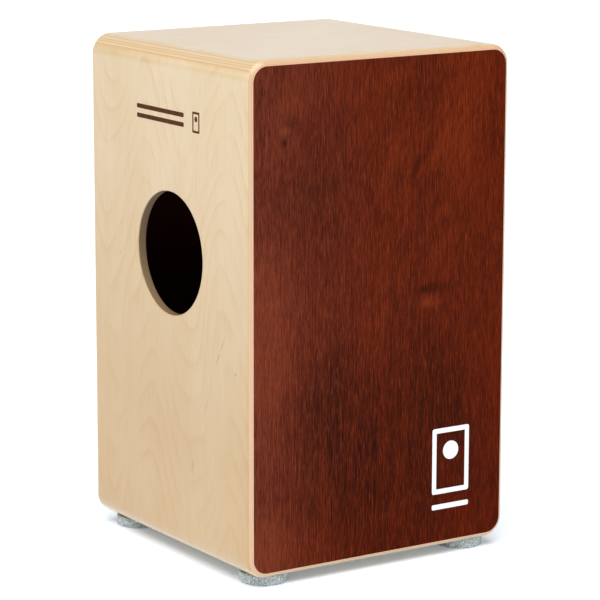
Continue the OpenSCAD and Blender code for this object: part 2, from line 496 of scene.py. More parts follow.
def growth_figure(s, across, length, peak, seed):
    """Growth rings cut almost flat: contours of a slow wave, which make nested arches and V shapes."""
    slow = s.grain(across, length, 2.5, seed, scale=0.012, detail=1)
    turn = s.over(s.minus(across, peak), ARCH_WIDTH / (2 * math.pi))
    turn = s.sway(turn, slow, ARCH_DRIFT)
    arch = s.times(s.math("COSINE", turn), -ARCH_HEIGHT)
    height = s.sway(s.plus(length, arch), slow, RING_DRIFT)
    ragged = s.grain(across, length, 9, seed + 5, scale=0.35)
    height = s.sway(height, ragged, RING_RAGGED)
    ring = s.math("FRACT", s.over(height, RING_SPACING))
    fall = s.remap(ring, RING_PEAK, 1.0, 1, 0, smooth=True)
    shade = 0.0
    for start, strength in RING_SHADES:
        rise = s.remap(ring, start, RING_PEAK, smooth=True)
        shade = s.plus(shade, s.times(s.times(rise, fall), strength))
    faded = s.grain(across, length, 2, seed + 20, scale=0.022)
    return s.times(shade, s.remap(faded, 0.40, 0.6, 0.1, 1.0))


def birch_ply(
    name, depth_axis, outside, side, plies, grain, cross, thickness, peak,
    marks_and_painted_light=None, pink=0.0, painted_wall_shade=(1, 1, 1),
):
    """Birch plywood: plies square to the depth axis, and an outer face with its grain along one axis."""
    s = Shader(name)
    ply, outer_ply = plies
    depth = s.times(s.minus(outside / MM, s.along[depth_axis]), side)
    below_first = s.minus(s.sway(depth, s.noise(s.place, scale=0.03), PLY_WAVER), outer_ply - ply)
    position = s.math("MAXIMUM", s.over(below_first, ply), 0.5)
    index = s.math("FLOOR", position)
    turned = s.math("PINGPONG", index, 1)
    length = s.blend(turned, s.along[grain], s.along[cross])
    width = s.blend(turned, s.along[cross], s.along[grain])
    facing = s.blend(turned, s.normal[grain], s.normal[cross])
    end_share = s.remap(s.times(facing, facing), 0.12, 0.9)
    ply_seed = s.times(index, PLY_SEED_STEP)

    fibres = s.grain(width, length, 26, s.plus(depth, ply_seed), scale=0.8, detail=3, roughness=0.6)
    flecks = s.grain(width, length, 9, s.plus(ply_seed, 50), scale=1.3, detail=1)
    streaks = s.grain(width, length, 40, ply_seed, scale=0.07)
    patches = s.grain(width, length, 2.5, peak, scale=0.014)
    outer = s.remap(position, 0.85, 1.0, 1, 0)
    figure = s.times(growth_figure(s, s.along[cross], s.along[grain], peak, thickness), outer)

    s.colour = s.mix(s.remap(patches, 0.35, 0.65, 0, 0.35), BIRCH_FACE, BIRCH_WARM)
    s.paint(s.times(figure, 0.7), BIRCH_WARM)
    s.paint(s.remap(streaks, 0.45, 0.75, 0, 0.30), BIRCH_WARM)
    s.paint(s.remap(fibres, 0.48, 0.8, 0, 0.28), BIRCH_FIBRE)
    s.paint(s.remap(flecks, 0.70, 0.78, 0, 0.20), BIRCH_FIBRE)
    if marks_and_painted_light is not None:
        marks_and_painted_light(s)
    s.paint(s.times(end_share, 0.9), BIRCH_END)
    s.paint(pink, BIRCH_PINK)
    # Painted shade: faces square to the panel's face, such as the sound hole's wall and the steep part of
    # rounded edges, are darkened and greyed by the wall tint
    flatness = s.times(s.normal[depth_axis], s.normal[depth_axis])
    shaded_cut_face = s.remap(s.minus(1, flatness), 0.6, 0.9)
    s.tint(shaded_cut_face, painted_wall_shade)
    seam = s.math("ABSOLUTE", s.minus(s.math("FRACT", position), 0.5))
    glue = s.times(s.remap(seam, 0.40, 0.47, 0, 0.6), s.remap(position, 0.55, 0.8))
    s.paint(glue, BIRCH_GLUE)
    # Painted shade: the inner faces of the box are painted near-black, as its inside lies in shade
    inward = s.remap(s.times(s.normal[depth_axis], -side), 0.55, 0.8)
    painted_dark_inside = s.times(inward, s.remap(depth, thickness - INSIDE_SHADE_START, thickness - INSIDE_SHADE_FULL))
    s.paint(painted_dark_inside, INSIDE_PAINTED_SHADE)
    rough = s.blend(painted_dark_inside, s.remap(fibres, 0.2, 0.8, 0.44, 0.56), INSIDE_SHADE_ROUGHNESS)
    s.bump(fibres, depth=0.03, strength=0.5)
    lacquer = s.blend(painted_dark_inside, LACQUER, 0.0)
    gloss = {"Specular_IOR_Level": 0.25, "Coat_Weight": lacquer, "Coat_Roughness": LACQUER_ROUGHNESS}
    return s.finish(rough, **gloss)


def smear(s, across, up, place, size, lean=0.0):
    """A soft spot: 1 in its middle, falling to 0 at its rim. Place and size are in millimetres."""
    dx = s.minus(across, place[0])
    dz = s.minus(up, place[1])
    if lean:
        dx = s.minus(dx, s.times(dz, lean))
    reach = s.length(s.over(dx, size[0]), s.over(dz, size[1]))
    return s.remap(reach, 0.0, 1.0, 1.0, 0.0, smooth=True)


def paint_spots(s, across, up, spots, tone):
    """Soft spots in one tone."""
    for place, size, strength in spots:
        s.paint(s.times(smear(s, across, up, place, size), strength), tone)


def side_marks_and_painted_shade(s):
    """What this one sheet of birch has: a few slim mineral streaks and pin knots, under a painted shade that
    makes it darker and yellower towards the bottom and the back.
    """
    up = s.along[Z]
    rough = s.grain(s.along[Y], up, 5, 9, scale=0.5)
    across = s.sway(s.along[Y], rough, STREAK_WANDER)
    # Painted shade: the left side's birch is tinted darker and yellower towards the bottom and the back
    painted_shade = s.plus(s.remap(up, 475, 120, 0, 0.9), s.remap(across, -60, 140, 0, 0.25))
    s.tint(painted_shade, BIRCH_PAINTED_SHADE_TINT)
    for place, size, lean, strength in SIDE_STREAKS:
        spot = s.times(smear(s, across, up, place, size, lean), strength)
        s.paint(s.times(spot, s.remap(rough, 0.25, 0.6)), BIRCH_MINERAL)


def seat_painted_reflection(s):
    """Painted reflection: the seat's sheet is tinted paler and greyer on its flat top than where it is
    rounded over.
    """
    s.tint(s.remap(s.normal[Z], 0.90, 1.0), SEAT_PAINTED_REFLECTION_TINT)


def dark_veneer():
    """Red-brown face veneer: fine upright fibres and pores over broad cloudy shades, with a painted sheen on
    the left and painted shade low down.
    """
    s = Shader("dark_veneer_face")
    across, up = s.along[X], s.along[Z]
    clouds = s.grain(across, up, 2, 3, scale=0.016)
    bands = s.grain(across, up, 26, 7, scale=0.12, detail=4, roughness=0.65)
    lines = s.grain(across, up, 70, 21, scale=0.75, roughness=0.6)
    fibres = s.grain(across, up, 18, 1, scale=1.35, detail=3, roughness=0.7)
    pores = s.grain(across, up, 12, 11, scale=1.7)
    slant_across = s.plus(s.times(across, RIPPLE_ACROSS[0]), s.times(up, RIPPLE_ACROSS[1]))
    slant_along = s.plus(s.times(across, RIPPLE_ALONG[0]), s.times(up, RIPPLE_ALONG[1]))
    ripple = s.grain(slant_across, slant_along, 7, 5, scale=0.09, detail=3, roughness=0.6)

    tone = s.remap(clouds, 0.3, 0.7, 0.41, 0.64)
    for place, size, change in VENEER_SHADES:
        tone = s.plus(tone, s.times(smear(s, across, up, place, size), change))
    straight = smear(s, across, up, *VENEER_STRAIGHT)
    tone = s.sway(tone, bands, s.remap(straight, 0, 1, 0.2, 0.5))
    tone = s.sway(tone, lines, s.remap(straight, 0, 0.8, 0.6, 1.35))
    tone = s.sway(tone, ripple, s.times(smear(s, across, up, *VENEER_RIPPLED), 0.85))
    s.colour = s.ramp(tone, VENEER_TONES)
    s.paint(s.remap(fibres, 0.28, 0.50, 0.66, 0), VENEER_DARK)
    s.paint(s.remap(fibres, 0.50, 0.72, 0, 0.66), VENEER_LIGHT)
    s.paint(s.remap(pores, 0.58, 0.68, 0, 0.42), VENEER_PORE)
    paint_spots(s, across, up, VENEER_KNOTS, VENEER_PORE)
    paint_spots(s, across, up, VENEER_GLINTS, VENEER_GLINT)
    # Painted sheen: the veneer's left is tinted hazier and pinker, turning to deeper red towards the right
    tint = s.mix(s.remap(across, -150, -10), VENEER_LEFT_PAINTED_SHEEN, VENEER_MIDDLE_TINT)
    tint = s.mix(s.remap(across, -10, 140), tint, VENEER_RIGHT_TINT)
    s.tint(1.0, tint)
    # Painted shade: the veneer is tinted darker and redder low down, away from its left edge
    low = s.times(s.remap(up, 260, 60), s.remap(across, -145, -50))
    s.tint(low, VENEER_LOW_PAINTED_SHADE)
    rough = s.remap(fibres, 0.3, 0.7, 0.58, 0.46)
    s.bump(s.minus(fibres, s.remap(pores, 0.56, 0.66)), depth=0.04, strength=0.5)
    return s.finish(rough, Specular_IOR_Level=0.03)


# Pressed felt of the feet
FELT_TONES = (
    (0.36, srgb(116, 126, 127)),
    (0.50, srgb(182, 191, 190)),
    (0.63, srgb(234, 241, 240)),
)
FELT_PALE = srgb(196, 203, 200)
FELT_SPECK = srgb(74, 82, 78)


def foot_felt():
    """Pressed blue-grey wool felt: mixed fibres, faint layers and darker specks."""
    s = Shader("foot_felt_wool")
    fibres = s.noise(s.place, scale=0.5, detail=4, roughness=0.75, distortion=1.2)
    specks = s.noise(s.place, scale=0.62, roughness=0.6)
    flattened = s.join(s.along[X], s.along[Y], s.times(s.along[Z], 4))
    layers = s.noise(flattened, scale=0.35, detail=3)
    s.colour = s.ramp(fibres, FELT_TONES)
    s.paint(s.remap(layers, 0.45, 0.7, 0, 0.25), FELT_PALE)
    s.paint(s.remap(specks, 0.52, 0.64, 0, 0.62), FELT_SPECK)
    s.bump(fibres, depth=0.5)
    return s.finish(0.95, Sheen_Weight=0.3, Sheen_Roughness=0.6)


INK_WHITE = srgb(246, 245, 242)
INK_THIN = srgb(214, 200, 190)
CHAR_TONES = (
    (0.30, srgb(58, 30, 14)),
    (0.55, srgb(84, 46, 22)),
    (0.80, srgb(120, 76, 42)),
)


def white_print():
    """Screen-printed white ink, a little thinner over the pores of the wood."""
    s = Shader("white_print_ink")
    pores = s.grain(s.along[X], s.along[Z], 12, 2, scale=1.6, detail=3, roughness=0.6)
    s.colour = s.mix(s.remap(pores, 0.55, 0.85, 0, 0.12), INK_WHITE, INK_THIN)
    s.bump(pores, depth=0.02, strength=0.4)
    return s.finish(s.remap(pores, 0.3, 0.7, 0.5, 0.62))


def burn_mark():
    """Wood burned dark brown by a hot stamp."""
    s = Shader("burn_mark_char")
    upright = s.join(s.along[X], s.along[Y], s.over(s.along[Z], 8))
    char = s.noise(upright, scale=1.1, detail=4, roughness=0.65)
    s.colour = s.ramp(char, CHAR_TONES)
    s.bump(char, depth=0.08, strength=0.8)
    rough = s.remap(char, 0.3, 0.7, 0.9, 0.75)
    return s.finish(rough, Specular_IOR_Level=0.1)


# Colours of solid wood: between the rings, in the rings, and its flecks
SOFTWOOD = (srgb(206, 170, 120), srgb(168, 118, 70), srgb(140, 92, 52))
BEECH = (srgb(205, 160, 118), srgb(184, 132, 90), srgb(140, 86, 54))

# The pith lies this far beside a piece, in millimetres, and the rings bend by this much
PITH_OFFSET = (31, 47)
RING_BEND = 9


def planed_wood(name, grain, colours, ring_width, fleck, roughness, inside_shade=0.0):
    """Planed wood: growth rings round a pith beside the piece, fibres, flecks and darker end grain."""
    s = Shader(name)
    pale, ring, speck = colours
    a, b = [s.along[axis] for axis in (X, Y, Z) if axis != grain]
    length = s.along[grain]
    bend = s.noise(s.join(s.over(a, 2), s.over(b, 2), s.over(length, 12)), scale=0.05)
    far = s.length(s.plus(a, PITH_OFFSET[0]), s.plus(b, PITH_OFFSET[1]))
    part = s.math("FRACT", s.over(s.plus(far, s.times(bend, RING_BEND)), ring_width))
    late = s.times(s.remap(part, 0.35, 0.9, smooth=True), s.remap(part, 0.9, 1.0, 1, 0))
    fibres = s.noise(s.join(a, b, s.over(length, 24)), scale=1.4, detail=4, roughness=0.65)
    flecks = s.noise(s.join(s.times(a, 1.4), b, s.over(length, 5)), scale=1.1, detail=1)
    end_share = s.times(s.normal[grain], s.normal[grain])
    s.colour = s.mix(s.times(late, 0.55), pale, ring)
    s.paint(s.remap(fibres, 0.45, 0.8, 0, 0.4), ring)
    s.paint(s.remap(flecks, 0.66, 0.74, 0, fleck), speck)
    s.paint(s.times(end_share, 0.5), ring)
    # Painted shade: near-black blotches over the given share, for pieces inside the box
    blotches = s.noise(s.place, scale=0.05, detail=3)
    s.paint(s.remap(blotches, 0.3, 0.7, inside_shade, inside_shade * 0.96), INSIDE_PAINTED_SHADE)
    s.bump(s.plus(fibres, s.times(late, 0.4)), depth=0.06, strength=0.6)
    return s.finish(s.remap(fibres, 0.3, 0.7, roughness, roughness + 0.12))


ZINC_BRIGHT = srgb(206, 208, 211)
ZINC_TARNISH = srgb(176, 174, 168)
ZINC_LINE = srgb(150, 152, 156)


def plated_steel(name, along, roughness):
    """Bright zinc-plated steel: fine drawing lines along one axis and faint cloudy tarnish."""
    s = Shader(name)
    stretched = [s.along[X], s.along[Y], s.along[Z]]
    stretched[along] = s.over(stretched[along], 30)
    lines = s.noise(s.join(*stretched), scale=6.0, detail=3, roughness=0.6)
    tarnish = s.noise(s.place, scale=0.22, detail=4, roughness=0.6)
    s.colour = s.mix(s.remap(tarnish, 0.4, 0.75), ZINC_BRIGHT, ZINC_TARNISH)
    s.paint(s.remap(lines, 0.4, 0.7, 0, 0.25), ZINC_LINE)
    rough = s.remap(tarnish, 0.3, 0.8, roughness, roughness + 0.15)
    rough = s.plus(s.remap(lines, 0.3, 0.7, 0, 0.12), rough)
    s.bump(lines, depth=0.01, strength=0.4)
    return s.finish(rough, Metallic=1.0)


NYLON_DARK = srgb(14, 14, 16)
NYLON_LIGHT = srgb(38, 38, 42)
NYLON_DUST = srgb(78, 76, 74)


def nylon():
    """Black nylon of hook-and-loop tape, slightly dusty."""
    s = Shader("hook_loop_nylon")
    weave = s.noise(s.place, scale=2.2, detail=3, roughness=0.6)
    dust = s.noise(s.place, scale=0.3, detail=4, roughness=0.7)
    s.colour = s.mix(s.remap(weave, 0.35, 0.7), NYLON_DARK, NYLON_LIGHT)
    s.paint(s.remap(dust, 0.5, 0.8, 0, 0.3), NYLON_DUST)
    s.bump(weave, depth=0.05, strength=0.7)
    return s.finish(s.remap(weave, 0.3, 0.7, 0.45, 0.6), Sheen_Weight=0.2)


# ---------- wood shells

# Middle of an arch of the growth figure on each panel, in millimetres across its grain
LEFT_PEAK = 37
RIGHT_PEAK = -30
SEAT_PEAK = 20
BASE_PEAK = -50
BACK_PEAK = 10
CORE_PEAK = 60

# A corner of a slice that is open on all sides
OPEN = (None, None, None)


def box_outline(inset):
    """The rounded outline of the box in X and Z, shrunk by the inset."""
    centres = []
    for sx, sz in QUARTERS:
        edge_x = BOX_HIGH.x if sx > 0 else BOX_LOW.x
        edge_z = BOX_HIGH.z if sz > 0 else BOX_LOW.z
        centres.append((edge_x - sx * CORNER_ROUND, edge_z - sz * CORNER_ROUND))
    return round_corners(centres, CORNER_ROUND - inset, CORNER_STEPS)


def edge_round(radius):
    """(depth, inset) along a rounded edge, from the flat face inwards."""
    turns = [math.radians(90 * i / EDGE_STEPS) for i in range(EDGE_STEPS + 1)]
    return [(radius * (1 - math.cos(a)), radius * (1 - math.sin(a))) for a in turns]


def box_slice(low, high):
    """The part of the closed box's outer shape between planes; None leaves that side open."""
    levels = [(BOX_LOW.y + depth, inset) for depth, inset in edge_round(FRONT_ROUND)]
    levels += [(BOX_HIGH.y - depth, inset) for depth, inset in reversed(edge_round(BACK_ROUND))]
    bm = loft([[(x, y, z) for x, z in box_outline(inset)] for y, inset in levels])
    for axis in (X, Y, Z):
        if low[axis] is not None:
            cut(bm, axis, low[axis], -1)
        if high[axis] is not None:
            cut(bm, axis, high[axis], 1)
    return bm


def hole_cutter(centre_y, centre_z, radius, low_x, high_x):
    """A round cutter through the left side panel, wider at the rounded outer rim and the inner chamfer."""
    profile = [(low_x - CUT_MARGIN, radius + HOLE_RIM)]
    profile += [(low_x + depth, radius + inset) for depth, inset in edge_round(HOLE_RIM)]
    profile += [
        (high_x - HOLE_BACK_CHAMFER, radius),
        (high_x, radius + HOLE_BACK_CHAMFER),
        (high_x + CUT_MARGIN, radius + HOLE_BACK_CHAMFER),
    ]
    return loft([circle((x, centre_y, centre_z), r, HOLE_STEPS, (Y, Z)) for x, r in profile])


def wood_shell(node, low, high, material, ease=PANEL_EASE, cutters=()):
    """A panel of the box: a slice of the outer shape, with its cut-outs and eased joints."""
    bm = box_slice(low, high)
    ease_edges(bm, ease)
    piece = new_piece(node + "_wood", bm, material)
    for cutter in cutters:
        subtract(piece, cutter)
    if cutters:
        shade(piece, SMOOTH_ANGLE)
    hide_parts(node)


def make_box():
    """The seven plywood and veneer pieces of the box."""
    veneer_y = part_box("playing_surface_veneer")[1].y
    plate_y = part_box("playing_surface_core")[1].y
    joint_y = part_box("back_panel")[0].y
    floor_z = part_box("base_panel")[1].z
    roof_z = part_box("seat_panel")[0].z
    left_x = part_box("left_side_panel")[1].x
    right_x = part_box("right_side_panel")[0].x
    side_t = (left_x - BOX_LOW.x) / MM
    seat_t = (BOX_HIGH.z - roof_z) / MM
    back_t = (BOX_HIGH.y - joint_y) / MM
    plate_t = (plate_y - BOX_LOW.y) / MM

    side_looks = {"marks_and_painted_light": side_marks_and_painted_shade, "painted_wall_shade": HOLE_WALL_PAINTED_SHADE}
    left = birch_ply("birch_left", X, BOX_LOW.x, -1, SIDE_PLIES, Z, Y, side_t, LEFT_PEAK, **side_looks)
    right = birch_ply("birch_right", X, BOX_HIGH.x, 1, SIDE_PLIES, Z, Y, side_t, RIGHT_PEAK)
    seat = birch_ply("birch_seat", Z, BOX_HIGH.z, 1, SEAT_PLIES, X, Y, seat_t, SEAT_PEAK, marks_and_painted_light=seat_painted_reflection)
    base = birch_ply("birch_base", Z, BOX_LOW.z, -1, SEAT_PLIES, X, Y, seat_t, BASE_PEAK)
    back = birch_ply("birch_back", Y, BOX_HIGH.y, 1, BACK_PLIES, Z, X, back_t, BACK_PEAK)
    core = birch_ply("birch_core", Y, BOX_LOW.y, -1, CORE_PLIES, Z, X, plate_t, CORE_PEAK, pink=0.6)

    hole = next(m for m in frame["record"]["mounts"] if m["name"] == "sound_hole")
    centre = Vector(hole["pos_m"])
    radius = hole["dims"]["r_mm"] * MM
    cutters = [hole_cutter(centre.y, centre.z, radius, BOX_LOW.x, left_x)]
    cutters += [side_mark(BOX_LOW.x - CUT_MARGIN, BOX_LOW.x + POCKET_DEPTH, 0)]

    wood_shell("seat_panel", (None, plate_y, roof_z), (None, joint_y, None), seat)
    wood_shell("base_panel", (None, plate_y, None), (None, joint_y, floor_z), base)
    wood_shell("left_side_panel", (None, plate_y, floor_z), (left_x, joint_y, roof_z), left, cutters=cutters)
    wood_shell("right_side_panel", (right_x, plate_y, floor_z), (None, joint_y, roof_z), right)
    wood_shell("back_panel", (None, joint_y, None), OPEN, back)
    core_low, core_high = (None, veneer_y, None), (None, plate_y, None)
    wood_shell("playing_surface_core", core_low, core_high, core, VENEER_EASE)
    face_low, face_high = (None, BOX_LOW.y + PRINT_RELIEF, None), (None, veneer_y, None)
    veneer = dark_veneer()
    wood_shell("playing_surface_veneer", face_low, face_high, veneer, VENEER_EASE)


# ---------- generic marks

MARK_STEPS = 8
LEAST_RADIUS = 0.1 * MM

# Print on the playing surface: middle in X and Z, half width and height, thickness of the line
FRONT_SIGN_PLACE = (83.5 * MM, 96 * MM)
FRONT_SIGN_HALF = (22 * MM, 33 * MM)
FRONT_SIGN_LINE = 5 * MM
FRONT_RULE_PLACE = (83.5 * MM, 50 * MM)
FRONT_RULE_HALF = (22 * MM, 2.6 * MM)

# Burned mark on the left side: the same, in Y and Z
SIDE_SIGN_PLACE = (-53 * MM, 434 * MM)
SIDE_SIGN_HALF = (6.5 * MM, 10 * MM)
SIDE_SIGN_LINE = 2.2 * MM
SIDE_RULE_MIDDLE = 13 * MM
SIDE_RULE_HALF = (44 * MM, 2.2 * MM)
SIDE_RULE_HEIGHTS = (438.6 * MM, 429.4 * MM)

# Shares: the disc's radius of the sign's half width, its raise of the half height, and the roundings
DISC_RADIUS = 0.42
DISC_RAISE = 0.3
SIGN_ROUND = 0.45
RULE_ROUND = 0.6


def rounded_rectangle(centre, half, radius):
    """Points of an upright rectangle with rounded corners, in two dimensions."""
    reach = (half[0] - radius, half[1] - radius)
    centres = [(centre[0] + su * reach[0], centre[1] + sv * reach[1]) for su, sv in QUARTERS]
    return round_corners(centres, radius, MARK_STEPS)


def on_front(u, v, depth):
    """A point from X, Z and the depth along Y."""
    return Vector((u, depth, v))


def on_left(u, v, depth):
    """A point from Y, Z and the depth along X."""
    return Vector((depth, u, v))


def raised(shapes, near, far, to_point):
    """Flat shapes as solids between two depths. Each is an outline with a hole of as many points or None."""
    parts = []
    for outline, hole in shapes:
        if hole is None:
            parts.append(loft([[to_point(u, v, depth) for u, v in outline] for depth in (near, far)]))
            continue
        rings = []
        for outer, inner in zip(outline, hole):
            corners = ((*outer, near), (*inner, near), (*inner, far), (*outer, far))
            rings.append([to_point(*corner) for corner in corners])
        parts.append(loft(rings, closed=True))
    return merged(parts)


def drum_sign(centre, half, line, grow):
    """A plain pictogram of a box drum: an upright frame with a disc in its upper part."""
    disc = DISC_RADIUS * half[0] + grow
    disc_centre = (centre[0], centre[1] + DISC_RAISE * half[1])
    half = (half[0] + grow, half[1] + grow)
    radius = SIGN_ROUND * line + grow
    line = line + 2 * grow
    inner_half = (half[0] - line, half[1] - line)
    inner = rounded_rectangle(centre, inner_half, max(radius - line, LEAST_RADIUS))
    return [
        (rounded_rectangle(centre, half, radius), inner),
        (rounded_rectangle(disc_centre, (disc, disc), disc), None),
    ]


def bar_sign(centre, half, grow):
    """A plain rule with rounded ends."""
    half = (half[0] + grow, half[1] + grow)
    return (rounded_rectangle(centre, half, half[1] * RULE_ROUND), None)


def side_mark(near, far, grow):
    """The shape of the burned mark on the left side: two rules and a small box drum."""
    shapes = drum_sign(SIDE_SIGN_PLACE, SIDE_SIGN_HALF, SIDE_SIGN_LINE, grow)
    shapes += [bar_sign((SIDE_RULE_MIDDLE, up), SIDE_RULE_HALF, grow) for up in SIDE_RULE_HEIGHTS]
    return raised(shapes, near, far, on_left)


def make_marks():
    """A white print on the playing surface and a burned mark on the left side, both plain pictograms."""
    shapes = drum_sign(FRONT_SIGN_PLACE, FRONT_SIGN_HALF, FRONT_SIGN_LINE, 0)
    shapes.append(bar_sign(FRONT_RULE_PLACE, FRONT_RULE_HALF, 0))
    print_shape = raised(shapes, BOX_LOW.y, BOX_LOW.y + PRINT_ROOT, on_front)
    ink = new_piece("front_print", print_shape, white_print())

    burn_shape = side_mark(BOX_LOW.x + CHAR_DEPTH, BOX_LOW.x + POCKET_DEPTH + CHAR_ROOT, CHAR_ROOT)
    char = new_piece("side_burn", burn_shape, burn_mark())


# ---------- feet

# Felt disc: its soft edge, points around it, and its rings as shares of the radius or the height
FOOT_SOFT = 1.4 * MM
FOOT_STEPS = 160
FOOT_UNDER = (0.2, 0.4, 0.6, 0.75, 0.88)
FOOT_SIDE = (0.3, 0.45, 0.6, 0.75)
FOOT_TOP = (0.85, 0.6, 0.3)
FOOT_SMOOTH_ANGLE = 70

# Size and height of the lumps and of the fuzz, in millimetres, and how far the side stays back for them
FELT_LUMPS = (6, 0.25)
FELT_FUZZ = (1.1, 0.16)
FELT_BACK = 0.35 * MM


def foot(node, material):
    """A disc of pressed felt, with soft edges and a lumpy side."""
    low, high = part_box(node)
    centre = (low + high) / 2
    radius = (high.x - low.x) / 2
    height = high.z - low.z
    inner = radius - FOOT_SOFT
    upper = height - FOOT_SOFT
    quarter = [math.radians(15 * i) for i in range(7)]
    profile = [(radius * share, 0.0) for share in FOOT_UNDER]
    profile += [(inner + FOOT_SOFT * math.sin(a), FOOT_SOFT - FOOT_SOFT * math.cos(a)) for a in quarter]
    profile += [(radius, height * share) for share in FOOT_SIDE]
    profile += [(inner + FOOT_SOFT * math.cos(a), upper + FOOT_SOFT * math.sin(a)) for a in quarter]
    profile += [(radius * share, height) for share in FOOT_TOP]
    bm = loft([circle((centre.x, centre.y, low.z + z), r, FOOT_STEPS, (X, Y)) for r, z in profile])
    for vert in bm.verts:
        out = Vector((vert.co.x - centre.x, vert.co.y - centre.y, 0))
        if out.length < radius - 2 * FOOT_SOFT:
            continue
        push = lump(vert.co, *FELT_LUMPS) + lump(vert.co, *FELT_FUZZ) - FELT_BACK
        vert.co += out.normalized() * push
    piece = new_piece(node + "_felt", bm, material, smooth_angle=FOOT_SMOOTH_ANGLE)
    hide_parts(node)


def make_feet():
    """The four felt feet, one at each corner."""
    felt = foot_felt()
    for end in ("front", "back"):
        for side in ("left", "right"):
            foot(f"foot_{end}_{side}", felt)


# ---------- inside

# CAD solids that keep their shape: nearer points than this are welded, sharper edges than this eased
WELD_DISTANCE = 0.01 * MM
EASE_ANGLE = 30
BATTEN_EASE = 0.6 * MM
BEECH_EASE = 0.5 * MM
STEEL_EASE = 0.12 * MM

# Snare coils: how many a side has, their outer radius and turns, the steps of a turn, and the wire
COILS = 12
COIL_RADIUS = 1.0 * MM
COIL_TURNS = 84
COIL_STEPS = 11
COIL_SMOOTH_ANGLE = 80
WIRE_RADIUS = 0.2 * MM
WIRE_SIDES = 4

# Solder beads: their middle past the coil's start and half their length, in millimetres, and their form
BEAD_MIDDLE = 0.5
BEAD_HALF_LENGTH = 1.5
BEAD_WIDTH = 0.98
BEAD_RINGS = 8
BEAD_STEPS = 14
BEAD_FIRST_TURN = 0.06
BEAD_LUMPS = (0.7, 0.2)
FINE_SMOOTH_ANGLE = 60

# Hook and loop tape: distance from hook to hook, corners, wires, and how deep they root in the backing
PAD_PITCH = 1.25 * MM
PAD_CORNER = 1.0 * MM
PAD_ROOT = 0.03 * MM
HOOK_WIRE = 0.12 * MM
LOOP_WIRE = 0.09 * MM

# Shares: backing and pile of the tape's thickness, and a hook's bend of its height
PAD_BACKING = 0.4
PAD_PILE = 0.56
HOOK_BEND = 0.34

# Strays from its place, in pitches, and from its direction, in radians; a loop's steps, width and height
PAD_STRAY = 0.15
HOOK_TWIST = 0.2
LOOP_STEPS = 6
LOOP_WIDTHS = (0.45, 0.7)
LOOP_HEIGHTS = (0.65, 0.95)


def dress(node, material, ease):
    """A CAD solid that keeps its own shape: softened edges and a real material."""
    piece = frame["nodes"][node]
    for holder in piece.material_slots:
        holder.link = "OBJECT"
        holder.material = material
    weld = piece.modifiers.new("weld", "WELD")
    weld.merge_threshold = WELD_DISTANCE
    bevel = piece.modifiers.new("ease", "BEVEL")
    bevel.width = ease
    bevel.segments = 2
    bevel.limit_method = "ANGLE"
    bevel.angle_limit = math.radians(EASE_ANGLE)
    keep_flats(piece)


def wire(bm, points, radius):
    """Adds a round wire through the points to a bmesh."""
    rows = []
    last = len(points) - 1
    side_way = None
    for i, point in enumerate(points):
        along = (points[min(i + 1, last)] - points[max(i - 1, 0)]).normalized()
        if side_way is None:
            side_way = along.orthogonal()
        side_way = (side_way - along * side_way.dot(along)).normalized()
        other_way = along.cross(side_way)
        row = []
        for j in range(WIRE_SIDES):
            a = 2 * math.pi * j / WIRE_SIDES
            row.append(bm.verts.new(point + (side_way * math.cos(a) + other_way * math.sin(a)) * radius))
        rows.append(row)
    bridge(bm, zip(rows, rows[1:]))
    bm.faces.new(rows[0][::-1])
    bm.faces.new(rows[-1])


def coil_lines(node):
    """Start and end of each coil's middle line, from the box round all of them."""
    low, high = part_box(node)
    reach = high - low
    lean = math.atan2(reach.y - 2 * COIL_RADIUS, reach.z)
    back, rise = COIL_RADIUS * math.cos(lean), COIL_RADIUS * math.sin(lean)
    pitch = (reach.x - 2 * COIL_RADIUS) / (COILS - 1)
    lines = []
    for i in range(COILS):
        x = low.x + COIL_RADIUS + i * pitch
        lines.append((Vector((x, high.y - back, low.z + rise)), Vector((x, low.y + back, high.z - rise))))
    return lines


def coil_ways(start, end):
    """The direction of a coil and two ways square to it."""
    axis = (end - start).normalized()
    across = Vector((1, 0, 0))
    return axis, across, axis.cross(across)


def bead(start, end):
    """A slightly lumpy bead of solder round the start of a coil."""
    axis, across, upward = coil_ways(start, end)
    rings = []
    for i in range(BEAD_RINGS + 1):
        a = math.pi * (BEAD_FIRST_TURN + (1 - 2 * BEAD_FIRST_TURN) * i / BEAD_RINGS)
        middle = start + axis * (BEAD_MIDDLE - BEAD_HALF_LENGTH * math.cos(a)) * MM
        size = COIL_RADIUS * (BEAD_WIDTH * math.sin(a))
        ring = []
        for j in range(BEAD_STEPS):
            b = 2 * math.pi * j / BEAD_STEPS
            point = middle + (across * math.cos(b) + upward * math.sin(b)) * size
            ring.append(point + axis * lump(point, *BEAD_LUMPS))
        rings.append(ring)
    return loft(rings)


def make_coils(side, steel, solder):
    """Wound snare coils, each a real helix of thin wire, soldered into the end plate."""
    draw = random.Random(f"coils {side}")
    lines = coil_lines(f"snare_coils_{side}")
    radius = COIL_RADIUS - WIRE_RADIUS
    steps = COIL_TURNS * COIL_STEPS
    bm = bmesh.new()
    for start, end in lines:
        axis, across, upward = coil_ways(start, end)
        phase = draw.uniform(0, 2 * math.pi)
        points = []
        for i in range(steps + 1):
            a = phase + 2 * math.pi * i / COIL_STEPS
            place = start.lerp(end, i / steps)
            points.append(place + (across * math.cos(a) + upward * math.sin(a)) * radius)
        wire(bm, points, WIRE_RADIUS)
    coils = new_piece(f"snare_coils_{side}_wound", bm, steel, "snare_unit", COIL_SMOOTH_ANGLE)
    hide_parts(f"snare_coils_{side}")

    drops = merged([bead(start, end) for start, end in lines])
    beads = new_piece(f"snare_solder_{side}", drops, solder, "snare_unit", FINE_SMOOTH_ANGLE)


